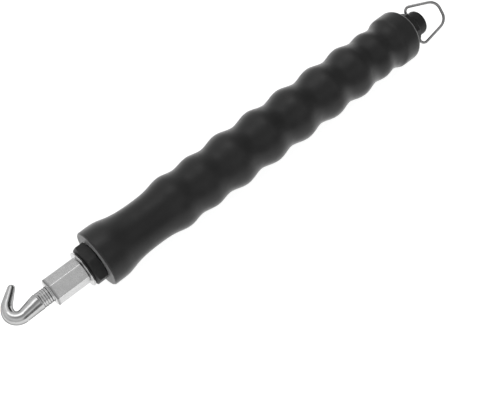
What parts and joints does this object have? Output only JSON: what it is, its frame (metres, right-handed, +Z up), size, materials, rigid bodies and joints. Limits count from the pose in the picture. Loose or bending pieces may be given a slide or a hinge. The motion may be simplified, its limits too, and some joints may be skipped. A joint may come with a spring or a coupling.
{
  "type": "pull-type wire tie twister",
  "caption": "Hand tool whose steel hook spins as it is pulled out of a ridged rubber grip on a spiral rod, to twist wire ties; a spring draws it back and a wire loop hangs it.",
  "frame": {"origin": "middle of the tool's footprint on the surface it lies on, with the grip resting on Z = 0", "axes": "+X along the tool from the hook to the hanging loop, +Y towards the side that the hook's tip is on, +Z up"},
  "size_m": [0.3124, 0.0335, 0.0326],
  "materials": {
    "grip_rubber": "satin moulded rubber",
    "tube_steel": "drawn steel tube",
    "black_nut": "black oxide, satin",
    "washer_steel": "zinc plated, bright",
    "seal_rubber": "matte",
    "bronze": "oiled bronze",
    "brass": "machined brass",
    "fastener_steel": "machined",
    "spring_steel": "oiled spring steel",
    "nylon": "natural nylon",
    "race_steel": "ground and hardened",
    "rod_steel": "zinc plated twisted bar",
    "collar_steel": "satin zinc plate",
    "hook_chrome": "polished plate",
    "loop_chrome": "bright drawn wire"
  },
  "bodies": {
    "handle": {"grip_sleeve": "grip_rubber", "body_tube": "tube_steel", "front_nut": "black_nut", "stop_washer": "washer_steel", "rod_wiper": "seal_rubber", "guide_bush": "bronze", "drive_nut": "brass", "drive_nut_screws": "fastener_steel", "spring_seat": "washer_steel", "return_spring": "spring_steel", "rear_cap": "black_nut", "rear_o_ring": "seal_rubber"},
    "carriage": {"spring_follower": "tube_steel", "guide_ring": "nylon", "fixed_race": "race_steel", "ball_cage": "brass", "thrust_balls": "race_steel"},
    "spindle": {"spiral_rod": "rod_steel", "moving_race": "race_steel", "rod_lock_nut": "fastener_steel", "hook_collar": "collar_steel", "collar_pin": "fastener_steel", "twist_hook": "hook_chrome"},
    "hanger": {"hanging_loop": "loop_chrome"}
  },
  "joints": [
    {"name": "rod_pull", "type": "slide", "parent": "handle", "child": "carriage", "axis": [-1, 0, 0], "range_m": [0, 0.1], "stiffness_N_per_m": 220, "springref_m": -0.06, "deforming": ["return_spring"]},
    {"name": "hook_spin", "type": "hinge", "parent": "carriage", "child": "spindle", "pos_m": [-0.10317, -0.00045, 0.0163], "axis": [-1, 0, 0], "range_deg": [0, 1260]},
    {"name": "loop_hinge", "type": "hinge", "parent": "handle", "child": "hanger", "pos_m": [0.13973, -0.00045, 0.0163], "axis": [0, 0.7649, 0.6441], "range_deg": [-80, 150]}
  ],
  "couplings": [
    {"joint": "hook_spin", "follows": "rod_pull", "rad_per_m": 219.91}
  ]
}
